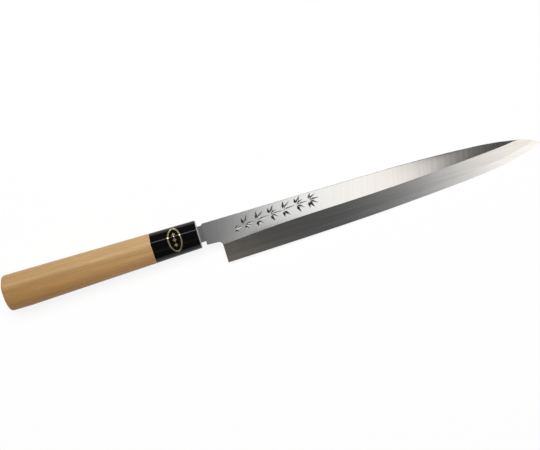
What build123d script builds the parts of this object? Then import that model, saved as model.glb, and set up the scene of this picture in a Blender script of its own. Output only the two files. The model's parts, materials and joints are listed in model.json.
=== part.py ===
from build123d import *
from math import acos, atan2, degrees, hypot
import os

# Yanagiba: a long single-bevel slicing knife with a D-shaped wooden handle.
#
# It is drawn straight, in the knife's own frame, and laid down as it rests on a table at the very end:
#   X runs from the machi (the shoulders where the blade meets its neck, x = 0) towards the tip
#   Y runs across the blade, from the cutting edge (negative) up to the spine (y = 0)
#   Z runs through the blade, from the flat back (z = 0) up to the bevelled side

os.makedirs("parts", exist_ok=True)

MM = 1.0

# Blade outline
blade_length = 240 * MM      # machi to tip
blade_height = 30.9 * MM     # spine line to the heel corner
tip_drop = 12.2 * MM         # spine line down to the tip
heel_x = 10.5 * MM           # machi to the upright heel edge
shank_height = 15.1 * MM     # spine line to the underside of the shank, at the machi
shank_rise = 0.4 * MM        # how much deeper the shank is where it meets the heel
choil_radius = 2.8 * MM      # hollow corner between shank and heel

# The curves of the blade at stations along it. Each row: distance from the machi as a share of the blade's length,
# then spine, cutting edge and shinogi (the ridge above the bevel) as shares of the blade's height, down from the
# spine line. Past the place where the shinogi runs out at the spine, it goes on as a construction line.
station_shares = (
    (0.044, 0.000, 1.000, 0.579),
    (0.188, 0.000, 0.972, 0.508),
    (0.375, 0.000, 0.926, 0.456),
    (0.542, 0.000, 0.866, 0.416),
    (0.688, 0.020, 0.790, 0.356),
    (0.792, 0.057, 0.728, 0.298),
    (0.867, 0.107, 0.659, 0.255),
    (0.925, 0.176, 0.570, 0.204),
    (0.967, 0.259, 0.484, 0.149),
)
tip_shinogi_share = 0.10     # the construction line at the tip
straight_spine_share = 0.53  # of the blade's length, before the spine starts to fall to the tip
edge_slope_share = 0.40      # rise of the edge, and fall of the spine, where they meet at the tip
spine_slope_share = 0.75

# Blade thickness
spine_thickness = 3.6 * MM   # at the machi
mid_thickness = 2.7 * MM     # half way along
tip_thickness = 1.35 * MM    # of the flat, if it went on to the tip
flat_share = 0.625           # of the blade's length, over which the flat is one true plane
edge_land = 0.15 * MM        # width of the fine final edge left upright under the bevel
spine_ease = 0.3 * MM        # rounding of the spine's corners
steel_at_machi = 1.15 * MM   # thickness of the hard steel layer
steel_at_tip = 0.7 * MM
hollow_depth = 0.38 * MM     # of the hollow-ground back
hollow_rim = 2.4 * MM        # flat rim left around it

# The hollow back at stations along it: distance from the machi as a share of the blade's length, rim and depth as
# shares of their own sizes. It starts narrow and shallow at the heel and dies out before the tip.
hollow_shares = (
    (0.055, 2.8, 0.12),
    (0.090, 1.3, 0.50),
    (0.188, 1.0, 1.00),
    (0.375, 1.0, 1.00),
    (0.542, 1.0, 0.95),
    (0.688, 1.0, 0.85),
    (0.792, 1.0, 0.70),
    (0.867, 1.0, 0.50),
    (0.925, 1.0, 0.30),
    (0.967, 1.0, 0.08),
)

# Neck and tang
neck_length = 3.8 * MM       # machi to the face of the ferrule
neck_top = 1.25 * MM         # step down from the spine line
neck_height = 11.25 * MM
neck_relief = 0.1 * MM       # how much lower the neck lies than the ground flat of the blade
shoulder_slope = 1.6 * MM    # length of the sloped upper shoulder
tang_length = 88 * MM        # from the face of the ferrule
tang_end_height = 5 * MM
tang_end_thickness = 2.6 * MM

# Handle
handle_length = 139 * MM     # ferrule's face to the crown of the butt
front_height = 19.7 * MM
swell_height = 25.0 * MM     # where the taper ends
swell_length = 15.5 * MM     # last stretch, with next to no taper
butt_height = 25.1 * MM
front_overhang = 3.5 * MM    # handle's top above the spine line, at the ferrule's face
butt_overhang = 4.3 * MM     # the same at the butt
ridge_drop = 3.1 * MM        # the handle's ridge below the spine line, all along
thickness_share = 0.81       # handle's thickness to its height
ridge_share = 0.045          # how far the ridge stands out of the oval, to the handle's height
oval_arcs = 12               # the oval is drawn as this many arcs of one ellipse
butt_crown = 1.2 * MM        # bulge of the domed butt
butt_ease = 2.2 * MM
wood_ridge_ease = 5.5 * MM

# Ferrule
ferrule_length = 32.5 * MM
ferrule_wall = 2.2 * MM      # around the tenon, at the ferrule's narrow end
ferrule_front = 4.0 * MM     # thickness of the closed front
ferrule_ridge_ease = 1.5 * MM
ferrule_rim_ease = 0.35 * MM  # chamfer around the front
tenon_gap = 1.5 * MM         # end of the tenon to the inside of the closed front
glue_gap = 0.1 * MM          # around the tenon, and around the tang in its burnt-in socket
socket_end_gap = 1.5 * MM
slot_margin = 0.5 * MM       # packing around the neck in the slot
seal_recess = 0.4 * MM       # packing below the ferrule's face

# How it lies on a table: on the ferrule's rim and the cutting edge near the tip
rest_pitch = 1.27            # degrees, tip down
rest_roll = 6.5              # degrees, cutting edge down

overrun = 5 * MM             # how far cuts run past what they cut


def across(x):
    """Plane square to the knife at x: its first axis points to the spine, its second to the bevelled side."""
    return Plane(origin=(x, 0, 0), x_dir=(0, 1, 0), z_dir=(1, 0, 0))


def along(y):
    """Upright plane along the knife at y: its first axis points to the tip, its second to the bevelled side."""
    return Plane(origin=(0, y, 0), x_dir=(1, 0, 0), z_dir=(0, -1, 0))


flat_end = flat_share * blade_length
flat_fall = (spine_thickness - mid_thickness) / (blade_length / 2)


def flat_height(x):
    """Height of the blade's flat above its back."""
    plane_height = spine_thickness - flat_fall * x
    if x <= flat_end:
        return plane_height
    run = (x - flat_end) / (blade_length - flat_end)
    tip_plane_height = spine_thickness - flat_fall * blade_length
    return plane_height - (tip_plane_height - tip_thickness) * run**2


def steel_height(x):
    """Height of the weld between steel and iron."""
    return steel_at_machi + (steel_at_tip - steel_at_machi) * x / blade_length


def station(shares):
    """Distance along, then heights of spine, edge and shinogi at one station of the blade."""
    x_share, spine_share, edge_share, shinogi_share = shares
    return (
        x_share * blade_length,
        -spine_share * blade_height,
        -edge_share * blade_height,
        -shinogi_share * blade_height,
    )


stations = [station(shares) for shares in station_shares]
tip = (blade_length, -tip_drop)
heel_corner = (heel_x, -blade_height)
neck_bottom = -neck_top - neck_height
neck_thickness = spine_thickness - neck_relief
slot_back = -neck_length - ferrule_front
shank_corner = (heel_x - choil_radius, -shank_height - shank_rise)

# The blade before its two layers are told apart: outline, flat, spine, bevel
with BuildPart() as blank:
    with BuildSketch():
        with BuildLine():
            straight_end = (straight_spine_share * blade_length, 0)
            falling = [(x, spine) for x, spine, _, _ in stations if x > straight_end[0] and spine < 0]
            cutting = [(x, edge) for x, _, edge, _ in stations[1:]]
            Polyline(
                (slot_back, -neck_top),
                (-shoulder_slope / 2, -neck_top),
                (shoulder_slope / 2, 0),
                straight_end,
            )
            Spline([straight_end, *falling, tip], tangents=((1, 0), (1, -spine_slope_share)))
            Spline([tip, *reversed(cutting), heel_corner])
            choil_start = (heel_x, shank_corner[1] - choil_radius)
            Line(heel_corner, choil_start)
            TangentArc(choil_start, shank_corner, tangent=(0, 1))
            Polyline(
                shank_corner,
                (0, -shank_height),
                (0, neck_bottom),
                (slot_back, neck_bottom),
                (slot_back, -neck_top),
            )
        make_face()
    extrude(amount=spine_thickness + overrun)

    # The flat: a small step down at the neck, a true plane that falls towards the tip, then one long gentle arc
    with BuildSketch(along(overrun)):
        with BuildLine():
            start = (slot_back - overrun, neck_thickness)
            bend = (flat_end, flat_height(flat_end))
            end = (blade_length + overrun, flat_height(blade_length + overrun))
            top = spine_thickness + 2 * overrun
            Polyline(start, (0, neck_thickness), (0, spine_thickness), bend)
            TangentArc(bend, end, tangent=(1, -flat_fall))
            Polyline(end, (end[0], top), (start[0], top), start)
        make_face()
    extrude(amount=blade_height + 2 * overrun, mode=Mode.SUBTRACT)

    spine_walls = blank.faces().filter_by(lambda face: face.normal_at().Y > 0.5 and face.center().X > heel_x)
    corners = spine_walls.edges().filter_by(lambda edge: edge.bounding_box().size.X > overrun)
    fillet(corners, radius=spine_ease)

    # The bevel: one surface of straight lines from the fine edge up to the shinogi
    bevel_sections = []
    past_tip = (blade_length + overrun, 0, edge_slope_share * overrun - tip_drop, -tip_shinogi_share * blade_height)
    for x, _, edge, shinogi in [(-overrun, *stations[0][1:]), *stations, past_tip]:
        slope = (flat_height(x) - edge_land) / (shinogi - edge)
        low_y, high_y = edge - overrun, shinogi + 2 * overrun
        high_z = edge_land + slope * (high_y - edge)
        with BuildSketch(across(x)) as section:
            Polygon((low_y, edge_land - slope * overrun), (high_y, high_z), (low_y, high_z), align=None)
        bevel_sections.append(section.sketch)
    loft(sections=bevel_sections, mode=Mode.SUBTRACT)

# The weld between the layers: steel below this line, from the machi to the tip
with BuildPart() as steel_zone:
    with BuildSketch(along(overrun)):
        Polygon(
            (0, -overrun),
            (0, steel_height(0)),
            (blade_length + overrun, steel_height(blade_length + overrun)),
            (blade_length + overrun, -overrun),
            align=None,
        )
    extrude(amount=blade_height + 2 * overrun)

# Soft iron: the upper layer, the neck, and the tang that tapers back into the handle
tang_mid = neck_thickness / 2
tang_end = -neck_length - tang_length


def tang_profile(x, gap=0):
    """Section of the tang at x, larger all round by a gap."""
    run = (x - slot_back) / (tang_end - slot_back)
    height = neck_height + (tang_end_height - neck_height) * run
    thickness = neck_thickness + (tang_end_thickness - neck_thickness) * run
    with BuildSketch(across(x)) as profile:
        with Locations((-neck_top - neck_height / 2, tang_mid)):
            Rectangle(height + 2 * gap, thickness + 2 * gap)
    return profile.sketch


with BuildPart() as blade_iron:
    add(blank.part)
    add(steel_zone.part, mode=Mode.SUBTRACT)
    loft(sections=[tang_profile(slot_back), tang_profile(tang_end)], ruled=True)

def blade_width_at(x):
    """Cutting edge and spine of the blade at x, between the stations on either side."""
    for (x_0, spine_0, edge_0, _), (x_1, spine_1, edge_1, _) in zip(stations, stations[1:]):
        if x <= x_1:
            break
    run = (x - x_0) / (x_1 - x_0)
    return edge_0 + (edge_1 - edge_0) * run, spine_0 + (spine_1 - spine_0) * run


# Hard steel: the lower layer, with its back ground hollow inside a flat rim
with BuildPart() as blade_steel:
    add(blank.part)
    add(steel_zone.part, mode=Mode.INTERSECT)
    hollow_sections = []
    for x_share, rim_share, depth_share in hollow_shares:
        edge, spine = blade_width_at(x_share * blade_length)
        low, high = edge + rim_share * hollow_rim, spine - rim_share * hollow_rim
        with BuildSketch(across(x_share * blade_length)) as section:
            with BuildLine():
                ThreePointArc((low, 0), ((low + high) / 2, depth_share * hollow_depth), (high, 0))
                Polyline((high, 0), (high, -overrun), (low, -overrun), (low, 0))
            make_face()
        hollow_sections.append(section.sketch)
    loft(sections=hollow_sections, mode=Mode.SUBTRACT)

# Handle: an oval with one ridge pulled out of its bevelled side, tapering towards the blade
taper_end = -neck_length - handle_length + swell_length
butt_x = -neck_length - handle_length


def handle_height(x):
    """Height of the handle at x: a straight taper up to the swell, then next to none."""
    if x >= taper_end:
        run = (x + neck_length) / (taper_end + neck_length)
        return front_height + (swell_height - front_height) * run
    run = (x - taper_end) / (butt_x - taper_end)
    return swell_height + (butt_height - swell_height) * run


def handle_middle(x):
    """Middle of the handle's height at x, below its straight upper line."""
    run = (x + neck_length) / (butt_x + neck_length)
    return front_overhang + (butt_overhang - front_overhang) * run - handle_height(x) / 2


def handle_profile(x):
    """Section of the handle at x: most of an oval, and the two flats that meet at the ridge."""
    height = handle_height(x)
    proud = ridge_share * height
    half_thickness = thickness_share * height / 2
    oval_height, oval_half = height / 2, half_thickness - proud / 2
    center = (handle_middle(x), tang_mid - proud / 2)
    ridge = (-ridge_drop, tang_mid + half_thickness)
    reach_y, reach_z = (ridge[0] - center[0]) / oval_height, (ridge[1] - center[1]) / oval_half
    lean = degrees(atan2(reach_z, reach_y))
    spread = degrees(acos(1 / hypot(reach_y, reach_z)))
    size = (360 - 2 * spread) / oval_arcs
    with BuildSketch(across(x)) as profile:
        with BuildLine():
            arcs = [
                EllipticalCenterArc(
                    center, oval_height, oval_half, start_angle=lean + spread + i * size, arc_size=size
                )
                for i in range(oval_arcs)
            ]
            Polyline(arcs[-1] @ 1, ridge, arcs[0] @ 0)
        make_face()
    return profile.sketch


def on_ridge(edge):
    """Whether an edge runs along the handle's ridge."""
    middle = edge.center()
    lengthwise = edge.bounding_box().size.X > swell_length / 2
    return lengthwise and abs(middle.Y + ridge_drop) < ridge_drop / 4 and middle.Z > tang_mid


ferrule_back = -neck_length - ferrule_length
tenon_end = slot_back - tenon_gap


def tenon_profile(x, gap=0):
    """Oval section of the tenon, larger all round by a gap. The ferrule's narrow end says how large it can be."""
    center = ((handle_middle(-neck_length) + handle_middle(ferrule_back)) / 2, tang_mid)
    half_height = front_height / 2 - ferrule_wall + gap
    half_thickness = thickness_share * front_height / 2 - ferrule_wall + gap
    with BuildSketch(across(x)) as profile:
        with Locations(center):
            Ellipse(half_height, half_thickness)
    return profile.sketch


def slot_profile(x):
    """Section of the slot in the ferrule's closed front."""
    with BuildSketch(across(x)) as profile:
        with Locations((-neck_top - neck_height / 2, tang_mid)):
            Rectangle(neck_height + 2 * slot_margin, neck_thickness + 2 * slot_margin)
    return profile.sketch


# Wooden grip: tapered body, eased ridge, domed butt, turned tenon at the front, burnt-in socket for the tang
with BuildPart() as grip:
    loft(sections=[handle_profile(ferrule_back), handle_profile(taper_end)], ruled=True)
    loft(sections=[handle_profile(taper_end), handle_profile(butt_x)], ruled=True)
    fillet(grip.edges().filter_by(on_ridge), wood_ridge_ease)

    butt_center = (butt_x, handle_middle(butt_x), tang_mid)
    with BuildSketch(Plane(origin=butt_center, x_dir=(1, 0, 0), z_dir=(0, -1, 0))):
        with BuildLine():
            reach = butt_height / 2 + overrun
            rim_depth = butt_crown * (2 * reach / butt_height) ** 2
            TangentArc((0, 0), (rim_depth, reach), tangent=(0, 1))
            Polyline((rim_depth, reach), (-overrun, reach), (-overrun, 0), (0, 0))
        make_face()
    revolve(axis=Axis(butt_center, (1, 0, 0)), mode=Mode.SUBTRACT)
    fillet(grip.faces().sort_by(Axis.X)[0].edges(), butt_ease)

    extrude(tenon_profile(ferrule_back), amount=tenon_end - ferrule_back)
    socket_end = tang_end - socket_end_gap
    loft(
        sections=[tang_profile(slot_back, glue_gap), tang_profile(socket_end, glue_gap)],
        ruled=True,
        mode=Mode.SUBTRACT,
    )

# Ferrule: a moulded collar, bored from the back for the tenon, closed in front but for the slot
with BuildPart() as ferrule:
    loft(sections=[handle_profile(-neck_length), handle_profile(ferrule_back)], ruled=True)
    fillet(ferrule.edges().filter_by(on_ridge), ferrule_ridge_ease)
    chamfer(ferrule.faces().sort_by(Axis.X)[-1].edges(), ferrule_rim_ease)
    extrude(tenon_profile(ferrule_back, glue_gap), amount=slot_back - ferrule_back, mode=Mode.SUBTRACT)
    extrude(slot_profile(slot_back), amount=ferrule_front, mode=Mode.SUBTRACT)

# Packing that closes the slot around the neck
with BuildPart() as tang_seal:
    extrude(slot_profile(slot_back), amount=ferrule_front - seal_recess)
    add(blade_iron.part, mode=Mode.SUBTRACT)

blade_iron.part.label = "blade_iron"
blade_steel.part.label = "blade_steel"
ferrule.part.label = "ferrule"
grip.part.label = "grip"
tang_seal.part.label = "tang_seal"

# Lay the knife down: turned as it rests on a table, then brought over the origin, standing on z = 0
pieces = (blade_iron, blade_steel, ferrule, grip, tang_seal)
for piece in pieces:
    piece.part.move(Location((0, 0, 0), (rest_roll, rest_pitch, 0)))
box = Compound([piece.part for piece in pieces]).bounding_box()
for piece in pieces:
    piece.part.move(Location((-box.center().X, -box.center().Y, -box.min.Z)))

export_step(blade_iron.part, "parts/blade_iron.step")
export_step(blade_steel.part, "parts/blade_steel.step")
export_step(ferrule.part, "parts/ferrule.step")
export_step(grip.part, "parts/grip.step")
export_step(tang_seal.part, "parts/tang_seal.step")
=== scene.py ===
import json
import math

import bmesh
import bpy
from mathutils import Matrix, Vector
from mathutils.bvhtree import BVHTree


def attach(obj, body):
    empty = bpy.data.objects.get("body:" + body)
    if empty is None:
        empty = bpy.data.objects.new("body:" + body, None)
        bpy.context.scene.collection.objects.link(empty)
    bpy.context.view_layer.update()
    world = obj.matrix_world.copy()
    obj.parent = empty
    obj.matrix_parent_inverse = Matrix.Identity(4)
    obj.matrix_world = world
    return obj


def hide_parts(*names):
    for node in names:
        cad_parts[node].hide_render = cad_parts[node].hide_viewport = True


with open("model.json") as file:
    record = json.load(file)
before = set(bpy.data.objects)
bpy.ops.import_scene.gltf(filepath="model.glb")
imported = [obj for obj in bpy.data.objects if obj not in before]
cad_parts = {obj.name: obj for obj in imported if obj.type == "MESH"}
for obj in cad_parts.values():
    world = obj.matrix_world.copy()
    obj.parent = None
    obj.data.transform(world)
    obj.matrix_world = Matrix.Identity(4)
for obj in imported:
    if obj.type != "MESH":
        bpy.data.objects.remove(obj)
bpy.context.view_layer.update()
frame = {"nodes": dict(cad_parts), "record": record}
cad = frame["nodes"]

# How the knife lies
# A yanagiba on a table touches it with its ferrule and with the edge near its tip, so it lies a little tip
# down and edge down. Its pieces are worked out straight: X from the machi, where blade and neck meet, to the
# tip, Y from the edge up to the spine, Z out of the bevelled side. lay then lays them down.
MM = 0.001
blade_length = 240 * MM

mounts = {mount["name"]: Vector(mount["axis"]) for mount in frame["record"]["mounts"]}
out_of_back = -mounts["blade_back"]
turn = Matrix.Rotation(math.atan2(-out_of_back.y, out_of_back.z), 4, "X")
turn = turn @ Matrix.Rotation(math.asin(out_of_back.x), 4, "Y")
unturned = [turn.inverted() @ v.co for name in ("blade_iron", "blade_steel") for v in cad[name].data.vertices]
machi = Vector((
    max(p.x for p in unturned) - blade_length,
    max(p.y for p in unturned),
    min(p.z for p in unturned),
))
lay = turn @ Matrix.Translation(machi)
straighten = lay.inverted()
turn_back = turn.inverted().to_3x3()


def place(x, y, z):
    """A point of the knife's own frame, given in millimetres, where it is on the table."""
    return lay @ (Vector((x, y, z)) * MM)


# Camera
# It looks straight down on the bevelled side, in a frame of 540 by 450, and is turned so that the knife rises
# to the right.
frame_width = 540
focal_pixels = 950
knife_rise = math.radians(16.42)

camera = bpy.data.objects.new("camera", bpy.data.cameras.new("camera"))
bpy.context.scene.collection.objects.link(camera)
bpy.context.scene.camera = camera
camera.data.sensor_width = 36
camera.data.lens = camera.data.sensor_width * focal_pixels / frame_width
camera.data.clip_start = 10 * MM
camera.data.clip_end = 100
over_knife = Matrix.Translation(place(45.1, -14.2, 654))
camera.matrix_world = over_knife @ turn @ Matrix.Rotation(-knife_rise, 4, "Z")

# Studio
# A white table top that runs on as a pale floor, a dim room whose horizon is white, one large soft key light
# from the spine's side, and three soft panels that the ground metal mirrors: one over the flat, one past the
# tip for the bevel, and a small warm one by the heel.
floor_radius = 6
floor_white = (0.96, 0.96, 0.96, 1)
floor_glow = 0.87
room_grey = (0.1, 0.1, 0.1, 1)
warm_loss = (0, 0.055, 0.12)

bpy.context.scene.view_settings.view_transform = "Standard"


def new_material(name):
    """An empty material with its output node, and that node."""
    material = bpy.data.materials.new(name)
    material.use_nodes = True
    material.node_tree.nodes.clear()
    return material, material.node_tree, material.node_tree.nodes.new("ShaderNodeOutputMaterial")


def add(tree, kind, inputs=(), **settings):
    """A new node. inputs pairs each socket with a value or with another node's output."""
    node = tree.nodes.new(kind)
    for name, value in settings.items():
        setattr(node, name, value)
    for name, value in inputs:
        socket = node.inputs[name]
        if isinstance(value, bpy.types.NodeSocket):
            tree.links.new(value, socket)
        else:
            socket.default_value = value
    return node


def seen_share(tree, share):
    """A share for the rays of the camera, of gloss and of glass, and zero for the light on the object."""
    path = add(tree, "ShaderNodeLightPath")
    gloss = add(tree, "ShaderNodeMath", [
        (0, path.outputs["Is Camera Ray"]), (1, path.outputs["Is Glossy Ray"]),
    ], operation="ADD")
    glass = add(tree, "ShaderNodeMath", [
        (0, gloss.outputs[0]), (1, path.outputs["Is Transmission Ray"]),
    ], operation="ADD", use_clamp=True)
    return add(tree, "ShaderNodeMath", [(0, glass.outputs[0]), (1, share)], operation="MULTIPLY").outputs[0]


floor_material, tree, out = new_material("table_white")
matt = add(tree, "ShaderNodeBsdfDiffuse", [("Color", floor_white)])
glow = add(tree, "ShaderNodeEmission", [("Color", (1, 1, 1, 1))])
mix = add(tree, "ShaderNodeMixShader", [
    (0, seen_share(tree, floor_glow)), (1, matt.outputs[0]), (2, glow.outputs[0]),
])
tree.links.new(mix.outputs[0], out.inputs["Surface"])

shape = bmesh.new()
bmesh.ops.create_circle(shape, cap_ends=True, segments=96, radius=floor_radius)
floor_mesh = bpy.data.meshes.new("floor")
shape.to_mesh(floor_mesh)
shape.free()
floor_mesh.materials.append(floor_material)
floor = bpy.data.objects.new("floor", floor_mesh)
bpy.context.scene.collection.objects.link(floor)

room = bpy.data.worlds.new("room")
room.use_nodes = True
bpy.context.scene.world = room
tree = room.node_tree
tree.nodes.clear()
direction = add(tree, "ShaderNodeTexCoord")
height = add(tree, "ShaderNodeSeparateXYZ", [(0, direction.outputs["Generated"])])
horizon = add(tree, "ShaderNodeMapRange", [
    ("Value", height.outputs["Z"]),
    ("From Min", 0.05), ("From Max", 0.14), ("To Min", 1.0), ("To Max", 0.0),
], interpolation_type="SMOOTHSTEP")
in_view = add(tree, "ShaderNodeLightPath")
white = add(tree, "ShaderNodeMath", [(0, horizon.outputs[0]), (1, in_view.outputs["Is Camera Ray"])],
            operation="MAXIMUM")
colour = add(tree, "ShaderNodeMix", [("Factor", white.outputs[0]), ("A", room_grey), ("B", (1, 1, 1, 1))],
             data_type="RGBA")
sky = add(tree, "ShaderNodeBackground", [("Color", colour.outputs["Result"])])
out = add(tree, "ShaderNodeOutputWorld")
tree.links.new(sky.outputs[0], out.inputs["Surface"])


def panel(name, centre, size, radiance, profile=()):
    """A soft light panel along the knife that faces the machi. Its centre and size are in millimetres. Its
    profile gives places along it, as shares of its length, with shares of its radiance and with warmth."""
    width, depth = (side * MM for side in size)
    light = bpy.data.objects.new(name, bpy.data.lights.new(name, "AREA"))
    bpy.context.scene.collection.objects.link(light)
    light.data.shape = "RECTANGLE"
    light.data.size, light.data.size_y = width, depth
    light.data.energy = radiance * math.pi * width * depth
    light.visible_camera = False
    away = Vector(centre).normalized()
    across = away.cross(Vector((1, 0, 0))).normalized()
    axes = Matrix((across.cross(away), across, away)).transposed().to_4x4()
    light.matrix_world = Matrix.Translation(place(*centre)) @ turn @ axes
    if profile:
        light.data.use_nodes = True
        tree = light.data.node_tree
        tree.nodes.clear()
        surface = add(tree, "ShaderNodeNewGeometry")
        spot = add(tree, "ShaderNodeSeparateXYZ", [(0, surface.outputs["Parametric"])])
        ramp = add(tree, "ShaderNodeValToRGB", [("Fac", spot.outputs["X"])])
        stops = ramp.color_ramp.elements
        for number, (where, share, warmth) in enumerate(profile):
            stop = stops[number] if number < len(stops) else stops.new(where)
            stop.position = where
            stop.color = [share * (1 - warmth * loss) for loss in warm_loss] + [1]
        glow = add(tree, "ShaderNodeEmission", [("Color", ramp.outputs["Color"])])
        tree.links.new(glow.outputs[0], add(tree, "ShaderNodeOutputLight").inputs["Surface"])


panel("key_light", (0, 1150, 2000), (2600, 1300), 5.6)
panel("panel_over_flat", (180, 25, 1000), (600, 200), 1.55, (
    (0, 0.03, 0), (0.1, 0.08, 0), (0.16, 0.17, 0), (0.2, 0.2, 0), (0.25, 0.36, 0), (0.305, 0.62, 0),
    (0.355, 0.79, 0), (0.41, 0.89, 0.1), (0.47, 0.95, 0.3), (0.53, 0.99, 0.6), (0.66, 1, 0.9),
    (0.71, 0.92, 1), (0.765, 0.73, 1), (0.82, 0.41, 1), (0.873, 0.13, 1), (0.93, 0.02, 1), (1, 0, 1),
))
panel("panel_past_tip", (535, -330, 1000), (730, 300), 1.6, (
    (0, 0.02, 0), (0.1, 0.05, 0), (0.2, 0.13, 0), (0.27, 0.25, 0), (0.325, 0.45, 0.1), (0.385, 0.69, 0.3),
    (0.445, 0.9, 0.8), (0.505, 1, 1.1), (1, 0.98, 1.2),
))
panel("panel_by_heel", (-60, -540, 1000), (330, 170), 0.33, (
    (0, 0.3, 4), (0.2, 1, 4), (0.45, 0.65, 4), (0.75, 0.16, 4), (1, 0, 4),
))

# Blade iron
# The upper layer of the two-layer blade is soft iron. Its flat is ground across the blade, its bevel is
# ground and polished on stones, and its spine, neck and tang stay as they were forged. The leaf sprig is
# struck into the flat with small chisels.
iron_colour = (0.60, 0.60, 0.595, 1)


def knife_coordinates(tree, lean=0):
    """Object coordinates turned into the knife's own frame, so that a pattern runs along or across the blade.
    lean turns the pattern further, about Z."""
    object_place = add(tree, "ShaderNodeTexCoord")
    into_knife = Matrix.Rotation(lean, 4, "Z") @ straighten
    return add(tree, "ShaderNodeMapping", [
        ("Vector", object_place.outputs["Object"]),
        ("Location", into_knife.translation),
        ("Rotation", into_knife.to_euler("XYZ")),
    ]).outputs[0]


def streaks(tree, place_vector, lengths, detail=3.0, roughness=0.55, seed=0.0):
    """Noise whose spots are as long, high and deep as the three lengths, in millimetres."""
    stretched = add(tree, "ShaderNodeVectorMath", [
        (0, place_vector), (1, [1 / (side * MM) for side in lengths]),
    ], operation="MULTIPLY")
    noise = add(tree, "ShaderNodeTexNoise", [
        ("Vector", stretched.outputs[0]), ("W", seed), ("Scale", 1.0), ("Detail", detail),
        ("Roughness", roughness),
    ], noise_dimensions="4D")
    return noise.outputs["Fac"]


def spread(tree, value, low, high, start=0.3, end=0.7):
    """A pattern's value stretched between two figures."""
    return add(tree, "ShaderNodeMapRange", [
        ("Value", value), ("From Min", start), ("From Max", end), ("To Min", low), ("To Max", high),
    ]).outputs[0]


def blend_colours(tree, share, first, second):
    """The first colour, with the given share of the second."""
    mixed = add(tree, "ShaderNodeMix", [("Factor", share), ("A", first), ("B", second)], data_type="RGBA")
    return mixed.outputs["Result"]


def ground_metal(name, colour, rough, spread_share, scratches, lustre, depth, contrast, lean=0):
    """Metal ground in one direction. scratches and lustre are the sizes of fine and of broad marks, depth is
    that of the fine ones, contrast is how much darker both make the metal, and lean is how far they lean
    toward the tip."""
    material, tree, out = new_material(name)
    vector = knife_coordinates(tree, lean)
    fine = streaks(tree, vector, scratches, detail=4.0)
    broad = streaks(tree, vector, lustre, detail=2.0, seed=3.0)
    dark = [(1 - contrast) * c for c in colour[:3]] + [1]
    both = add(tree, "ShaderNodeMath", [(0, fine), (1, broad)], operation="ADD").outputs[0]
    tint = blend_colours(tree, spread(tree, both, 0, 1, 0.7, 1.3), dark, colour)
    bump = add(tree, "ShaderNodeBump", [("Height", fine), ("Strength", 0.25), ("Distance", depth * MM)])
    tip_way = turn.to_3x3() @ Vector((math.cos(lean), -math.sin(lean), 0))
    shader = add(tree, "ShaderNodeBsdfPrincipled", [
        ("Base Color", tint), ("Metallic", 1.0), ("Anisotropic", spread_share),
        ("Roughness", spread(tree, fine, rough - 0.02, rough + 0.02)),
        ("Normal", bump.outputs[0]),
        ("Tangent", add(tree, "ShaderNodeCombineXYZ", list(enumerate(tip_way))).outputs[0]),
    ])
    tree.links.new(shader.outputs[0], out.inputs["Surface"])
    return material


grinding_lean = math.radians(12)
across_blade, across_broad = (0.6, 60, 60), (1.5, 120, 120)
along_blade, along_broad = (40, 0.6, 0.6), (90, 1.8, 1.8)
speckle, patches = (1.5, 1.5, 1.5), (6, 6, 6)
flat_finish = ground_metal(
    "iron_ground_flat", iron_colour, 0.11, 0.5, across_blade, across_broad, 0.008, 0.1, grinding_lean)
bevel_finish = ground_metal(
    "iron_polished_bevel", iron_colour, 0.17, 0.3, along_blade, along_broad, 0.0012, 0.12)
forged_colour = (0.24, 0.24, 0.235, 1)
forged_finish = ground_metal("iron_forged", forged_colour, 0.38, 0.2, speckle, patches, 0.01, 0.2)
# The chisel cuts get a far darker metal than the flat: painted shade, which gives the strokes dark cores.
chisel_cut_painted_shade = (0.18, 0.18, 0.177, 1)
cut_finish_and_shade = ground_metal("iron_chisel_cut_painted_shade", chisel_cut_painted_shade, 0.22, 0, speckle, patches, 0.002, 0.2)
eased_colour = (0.36, 0.36, 0.355, 1)
eased_finish = ground_metal("iron_eased_corner", eased_colour, 0.45, 0, speckle, patches, 0.002, 0.1)


def show(name, mesh):
    """A finished piece at the origin, with its place in its mesh."""
    piece = bpy.data.objects.new(name, mesh)
    bpy.context.scene.collection.objects.link(piece)
    return piece


def merged_copy(node):
    """The CAD node's mesh as one closed skin to work on."""
    skin = bmesh.new()
    skin.from_mesh(cad[node].data)
    bmesh.ops.remove_doubles(skin, verts=skin.verts, dist=0.001 * MM)
    return skin


def facing(face):
    """Where a face looks and where its centre is, in the knife's own frame."""
    return turn_back @ face.normal, straighten @ face.calc_center_median()


def grind(mesh, finishes, kind_of, sharp=math.radians(28)):
    """Gives each face the finish of its kind, and keeps edges crisp between two kinds and where they turn
    sharply."""
    for finish in finishes:
        mesh.materials.append(finish)
    skin = bmesh.new()
    skin.from_mesh(mesh)
    for face in skin.faces:
        face.material_index = kind_of(*facing(face))
        face.smooth = True
    for edge in skin.edges:
        kinds = {face.material_index for face in edge.link_faces}
        edge.smooth = len(kinds) == 1 and edge.calc_face_angle(0) < sharp
    skin.to_mesh(mesh)
    skin.free()


flat, bevel, forged, chiselled, eased = range(5)
sprig_start = (18 * MM, -13.5 * MM, 2 * MM)
sprig_end = (86 * MM, -0.6 * MM, 4 * MM)


def iron_kind(normal, centre):
    """Flat, bevel, forged, chiselled or eased corner of the spine, told from where a face looks and lies in
    the knife's own frame."""
    in_sprig = all(low < side < high for low, side, high in zip(sprig_start, centre, sprig_end))
    if in_sprig and normal.z < 0.998:
        return chiselled
    if normal.z < 0.3:
        return forged
    if normal.y > 0.1:
        return eased
    if normal.z > 0.99 and normal.y > -0.05:
        return flat
    return bevel


skin = merged_copy("blade_iron")

# The flat is ground by hand, so it isn't quite true: it is faintly crowned beside the sprig, and more toward
# the tip.
crown_line_gap = 1.4 * MM
crown_stations = 22


def eased_share(value, start, end):
    """A smooth step from zero at start to one at end."""
    share = min(max((value - start) / (end - start), 0), 1)
    return share * share * (3 - 2 * share)


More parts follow.
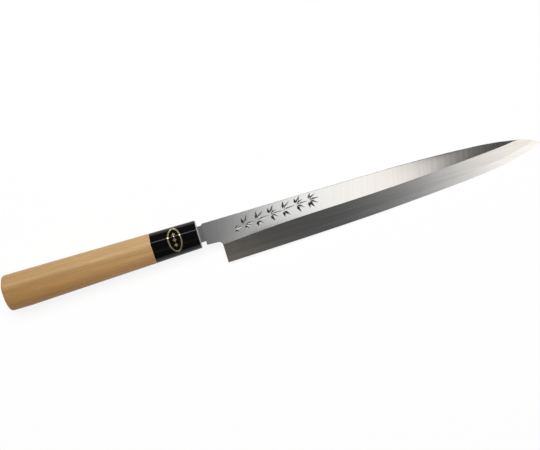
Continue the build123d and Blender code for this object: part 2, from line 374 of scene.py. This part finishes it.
def faces_of_flat():
    """The faces between the eased corner of the spine and the ridge line."""
    return [face for face in skin.faces if iron_kind(*facing(face)) == flat]


def cut_flat(point, normal):
    """Cuts the faces of the flat along a plane given in the knife's own frame."""
    faces = faces_of_flat()
    edges = {edge for face in faces for edge in face.edges}
    corners = {corner for face in faces for corner in face.verts}
    bmesh.ops.bisect_plane(skin, geom=[*faces, *edges, *corners], plane_co=lay @ Vector(point),
                           plane_no=turn.to_3x3() @ Vector(normal), dist=0.001 * MM)


def crown(start, end, lines, fall, share_at):
    """Lets the flat fall away from the line between two of its points, by the square of the distance from it
    times fall. lines are the first and last of the cuts beside that line, and share_at says how much of the
    fall a place gets."""
    slope = (end[1] - start[1]) / (end[0] - start[0])
    for number in range(*lines):
        cut_flat((start[0], start[1] + number * crown_line_gap, 0), (-slope, 1, 0))
    for station in range(crown_stations):
        cut_flat((start[0] + (end[0] - start[0]) * station / (crown_stations - 1), 0, 0), (1, 0, 0))
    for corner in {corner for face in faces_of_flat() for corner in face.verts}:
        p = straighten @ corner.co
        away = p.y - start[1] - slope * (p.x - start[0])
        p.z -= fall * share_at(p.x) * away ** 2
        corner.co = lay @ p


crown((125 * MM, -13.5 * MM), (215 * MM, -5.5 * MM), (0, 8), 0.0044 / MM,
      lambda x: eased_share(x, 125 * MM, 192 * MM))
crown((6 * MM, -3 * MM), (98 * MM, -3 * MM), (-6, 2), 0.001 / MM,
      lambda x: eased_share(x, 6 * MM, 40 * MM) * (1 - eased_share(x, 56 * MM, 98 * MM)))

iron_mesh = bpy.data.meshes.new("blade_iron_ground")
skin.to_mesh(iron_mesh)
skin.free()

# A sprig of bamboo: each leaf and each length of stem is one stroke of a small chisel, which cuts a pointed V
# that is deepest near its head. The stem runs from node to node, and each node has its leaves, given as
# directions in degrees and lengths in millimetres.
leaf_width = 2.0 * MM
leaf_stalk = 0.9
stem_width = 1.5 * MM
stroke_depth_share = 0.2
stem_overlap = 0.6
stroke_lift = 0.01 * MM
sprig_nodes = (
    ((20.5, -10.6), ((28, 4.6), (-34, 3.2))),
    ((28.0, -9.2), ((100, 4.4), (62, 6.6), (-50, 3.8), (-14, 4.6))),
    ((37.0, -8.6), ((80, 5.8), (44, 7.0), (-78, 3.4), (-38, 5.2))),
    ((47.0, -7.4), ((98, 4.2), (60, 6.4), (26, 5.0), (-62, 5.0), (-26, 5.6))),
    ((56.5, -7.0), ((78, 5.6), (42, 7.0), (-86, 4.2), (-46, 5.6))),
    ((66.0, -5.8), ((92, 3.6), (54, 5.8), (24, 5.2), (-68, 5.8), (-32, 6.0))),
    ((75.0, -5.6), ((66, 4.8), (34, 6.2), (4, 7.2), (-26, 6.6), (-58, 5.6), (-90, 4.4))),
)

iron_tree = BVHTree.FromPolygons([v.co for v in iron_mesh.vertices], [p.vertices for p in iron_mesh.polygons])
above_flat = 20 * MM


def flat_height(x, y):
    """Height of the flat above the back's plane."""
    down = turn.to_3x3() @ Vector((0, 0, -1))
    hit = iron_tree.ray_cast(lay @ Vector((x, y, above_flat)), down)[0]
    return (straighten @ hit).z


def chisel(cutter, start, direction, length, width, stalk=0):
    """Adds an eight-sided point whose lower half cuts a V into the flat, widest and deepest a third along
    from its head, which lies a stalk away from the start."""
    half = length * MM / 2
    depth = width * stroke_depth_share
    spin = Matrix.Rotation(math.radians(direction), 4, "Z")
    middle = Matrix.Translation((half + stalk * MM, 0, 0))
    from_start = Matrix.Translation(Vector((*start, 0)) * MM) @ spin @ middle
    point = bmesh.ops.create_uvsphere(cutter, u_segments=4, v_segments=2, radius=1)["verts"]
    for v in point:
        toward_head = max(abs(v.co.z), abs(v.co.y)) * half / 3
        spot = from_start @ Vector((v.co.x * half - toward_head, v.co.y * width / 2, 0))
        spot.z = flat_height(spot.x, spot.y) + stroke_lift + v.co.z * depth
        v.co = lay @ spot


cutter = bmesh.new()
for (start, _), (end, _) in zip(sprig_nodes, sprig_nodes[1:]):
    run = Vector(end) - Vector(start)
    chisel(cutter, start, math.degrees(math.atan2(run.y, run.x)), run.length + stem_overlap, stem_width)
for node, leaves in sprig_nodes:
    for direction, length in leaves:
        chisel(cutter, node, direction, length, leaf_width, leaf_stalk)
sprig_mesh = bpy.data.meshes.new("sprig_cutter")
cutter.to_mesh(sprig_mesh)
cutter.free()
sprig = show("sprig_cutter", sprig_mesh)
struck = show("struck", iron_mesh)
cut = struck.modifiers.new("cut", "BOOLEAN")
cut.object = sprig
cut.solver = "EXACT"
cut.use_self = True
bpy.context.view_layer.update()
iron_mesh = bpy.data.meshes.new_from_object(struck.evaluated_get(bpy.context.evaluated_depsgraph_get()))
bpy.data.objects.remove(struck)
bpy.data.objects.remove(sprig)
grind(iron_mesh, (flat_finish, bevel_finish, forged_finish, cut_finish_and_shade, eased_finish), iron_kind)
iron = show("blade_iron_ground", iron_mesh)
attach(iron, "root")
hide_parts("blade_iron")

# Blade steel
# The hard steel layer is the whole back of the blade, ground hollow inside a narrow flat rim, and it comes
# out as the bright band along the cutting edge. It is forge-welded to the iron.
steel_colour = (0.66, 0.665, 0.67, 1)
band_finish = ground_metal("steel_edge_band", steel_colour, 0.17, 0.3, along_blade, along_broad, 0.0012, 0.1)
back_finish = ground_metal(
    "steel_hollow_back", steel_colour, 0.24, 0.6, across_blade, across_broad, 0.003, 0.08, grinding_lean)


def steel_kind(normal, centre):
    """The band on the bevelled side, or the rest: the back, the narrow sides and the weld under the iron."""
    return 0 if normal.z > 0.5 and normal.y < -0.05 else 1


skin = merged_copy("blade_steel")
steel_mesh = bpy.data.meshes.new("blade_steel_ground")
skin.to_mesh(steel_mesh)
skin.free()
grind(steel_mesh, (band_finish, back_finish), steel_kind)
steel = show("blade_steel_ground", steel_mesh)
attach(steel, "root")
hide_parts("blade_steel")

# Packing in the ferrule's slot
# A dark, matt filler is pressed into the slot around the neck, so that no water gets to the tang.
material, tree, out = new_material("packing_matt")
grit = streaks(tree, knife_coordinates(tree), (0.4, 0.4, 0.4))
bump = add(tree, "ShaderNodeBump", [("Height", grit), ("Strength", 0.5), ("Distance", 0.05 * MM)])
shader = add(tree, "ShaderNodeBsdfPrincipled", [
    ("Base Color", blend_colours(tree, grit, (0.012, 0.011, 0.01, 1), (0.03, 0.027, 0.024, 1))),
    ("Roughness", 0.8),
    ("Normal", bump.outputs[0]),
])
tree.links.new(shader.outputs[0], out.inputs["Surface"])
cad["tang_seal"].material_slots[0].material = material

# Ferrule
# A collar of black resin, moulded over a ridge like the handle's and polished to a high gloss, glued on the
# handle's tenon.
material, tree, out = new_material("ferrule_gloss_black")
vector = knife_coordinates(tree)
wipes = streaks(tree, vector, (6, 0.8, 0.8))
shader = add(tree, "ShaderNodeBsdfPrincipled", [
    ("Base Color", (0.002, 0.002, 0.002, 1)),
    ("Roughness", spread(tree, wipes, 0.05, 0.12)),
    ("Specular IOR Level", 0.25),
])
tree.links.new(shader.outputs[0], out.inputs["Surface"])
cad["ferrule"].material_slots[0].material = material

# Foil emblem
# A thin metal foil pressed on the ferrule across its ridge: an oval ring with three small lozenges in it, one
# above the other.
foil_lift = 0.03 * MM
foil_centre = (-19.8 * MM, -5.6 * MM)
ring_size = (9.8 * MM, 16.6 * MM)
ring_line = 0.95 * MM
ring_steps = 160
lozenge_size = (2.6 * MM, 2.8 * MM)
lozenge_gap = 3.6 * MM
lozenge_cuts = 9
above_collar = 40 * MM
worn_gold, bright_gold = (0.66, 0.55, 0.27, 1), (0.86, 0.76, 0.42, 1)

material, tree, out = new_material("foil_gold")
vector = knife_coordinates(tree)
wear = streaks(tree, vector, (0.5, 0.5, 0.5), detail=3.0)
shader = add(tree, "ShaderNodeBsdfPrincipled", [
    ("Base Color", blend_colours(tree, spread(tree, wear, 0, 1), worn_gold, bright_gold)),
    ("Metallic", 1.0),
    ("Roughness", 0.34),
])
tree.links.new(shader.outputs[0], out.inputs["Surface"])

foil = bmesh.new()
bmesh.ops.create_circle(foil, cap_ends=True, segments=ring_steps, radius=1)
bmesh.ops.scale(foil, vec=(ring_size[0] / 2, ring_size[1] / 2, 1), verts=foil.verts)
bmesh.ops.inset_region(
    foil, faces=foil.faces[:], use_boundary=True, use_even_offset=True, thickness=ring_line)
middle = max(foil.faces, key=lambda face: len(face.verts))
bmesh.ops.delete(foil, geom=[middle], context="FACES_ONLY")
for row in (-1, 0, 1):
    grid = bmesh.ops.create_grid(foil, x_segments=lozenge_cuts, y_segments=lozenge_cuts, size=0.5)["verts"]
    bmesh.ops.rotate(foil, verts=grid, matrix=Matrix.Rotation(math.radians(45), 3, "Z"))
    bmesh.ops.scale(foil, verts=grid, vec=(lozenge_size[0] / math.sqrt(2), lozenge_size[1] / math.sqrt(2), 1))
    bmesh.ops.translate(foil, verts=grid, vec=(0, row * lozenge_gap, 0))
collar = cad["ferrule"].data
collar_tree = BVHTree.FromPolygons([v.co for v in collar.vertices], [p.vertices for p in collar.polygons])
down = turn.to_3x3() @ Vector((0, 0, -1))
for v in foil.verts:
    above = lay @ Vector((foil_centre[0] + v.co.x, foil_centre[1] + v.co.y, above_collar))
    spot, normal, _, _ = collar_tree.ray_cast(above, down)
    v.co = spot + foil_lift * normal
bmesh.ops.recalc_face_normals(foil, faces=foil.faces)
if foil.faces[:][0].normal.dot(down) > 0:
    bmesh.ops.reverse_faces(foil, faces=foil.faces)
bmesh.ops.solidify(foil, geom=foil.faces[:], thickness=2 * foil_lift)
for face in foil.faces:
    face.smooth = True
for edge in foil.edges:
    edge.smooth = edge.calc_face_angle(0) < math.radians(35)
foil_mesh = bpy.data.meshes.new("foil_emblem")
foil.to_mesh(foil_mesh)
foil.free()
foil_mesh.materials.append(material)
emblem = show("foil_emblem", foil_mesh)
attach(emblem, "root")

# Wooden grip
# Magnolia, sanded and left bare. The rings of the tree run nearly straight along the handle and show faintly
# as shallow arcs on the butt.
material, tree, out = new_material("magnolia_wood")
vector = knife_coordinates(tree)
wander = streaks(tree, vector, (90, 9, 9), detail=2.0)
wander_shift = add(tree, "ShaderNodeVectorMath", [
    (0, (0, 1.6 * MM, 2.4 * MM)),
    ("Scale", spread(tree, wander, -1, 1)),
], operation="SCALE")
wandering = add(tree, "ShaderNodeVectorMath", [(0, vector), (1, wander_shift.outputs[0])], operation="ADD")
from_pith = add(tree, "ShaderNodeVectorMath", [(0, wandering.outputs[0]), (1, (0, 75 * MM, 40 * MM))],
                operation="ADD")
rings = add(tree, "ShaderNodeTexWave", [
    ("Vector", from_pith.outputs[0]), ("Scale", 62.0), ("Distortion", 1.5), ("Detail", 2.0),
    ("Detail Scale", 0.6),
], wave_type="RINGS", rings_direction="X", wave_profile="SAW")
fibres = streaks(tree, vector, (9, 0.3, 0.3), detail=4.0, roughness=0.65)
flecks = streaks(tree, vector, (4, 0.5, 0.5), detail=1.0, seed=9.0)
clouds = streaks(tree, vector, (38, 4, 4), detail=3.0, seed=5.0)
bands = streaks(tree, vector, (60, 1.2, 1.2), detail=3.0, seed=7.0)
along = add(tree, "ShaderNodeSeparateXYZ", [(0, wandering.outputs[0])])
# Painted shade: the wood is made darker toward the butt and toward the edge side, where less key light falls.
painted_shade_toward_butt = spread(tree, along.outputs["X"], 0, 1, -45 * MM, -130 * MM)
painted_shade_toward_edge = spread(tree, along.outputs["Y"], 0, 1, 1 * MM, -14 * MM)
early, late = (0.546, 0.355, 0.155, 1), (0.46, 0.275, 0.108, 1)
tint = blend_colours(tree, spread(tree, rings.outputs["Fac"], 0, 0.5, 0, 1), early, late)
tint = blend_colours(tree, spread(tree, clouds, 0, 0.5, 0.35, 0.65), tint, (0.61, 0.425, 0.205, 1))
tint = blend_colours(tree, spread(tree, bands, 0, 0.5, 0.42, 0.65), tint, (0.40, 0.235, 0.09, 1))
tint = blend_colours(tree, spread(tree, fibres, 0, 0.4, 0.45, 0.75), tint, (0.35, 0.2, 0.076, 1))
tint = blend_colours(tree, spread(tree, flecks, 0, 0.3, 0.6, 0.75), tint, (0.71, 0.55, 0.33, 1))
for share, shade in ((painted_shade_toward_butt, (0.84, 0.79, 0.68, 1)), (painted_shade_toward_edge, (0.95, 0.8, 0.66, 1))):
    tint = add(tree, "ShaderNodeMix", [("Factor", share), ("A", tint), ("B", shade)], data_type="RGBA",
               blend_type="MULTIPLY").outputs["Result"]
bump = add(tree, "ShaderNodeBump", [("Height", fibres), ("Strength", 0.25), ("Distance", 0.03 * MM)])
shader = add(tree, "ShaderNodeBsdfPrincipled", [
    ("Base Color", tint),
    ("Roughness", spread(tree, fibres, 0.46, 0.58)),
    ("Normal", bump.outputs[0]),
])
tree.links.new(shader.outputs[0], out.inputs["Surface"])
cad["grip"].material_slots[0].material = material

bpy.context.view_layer.update()
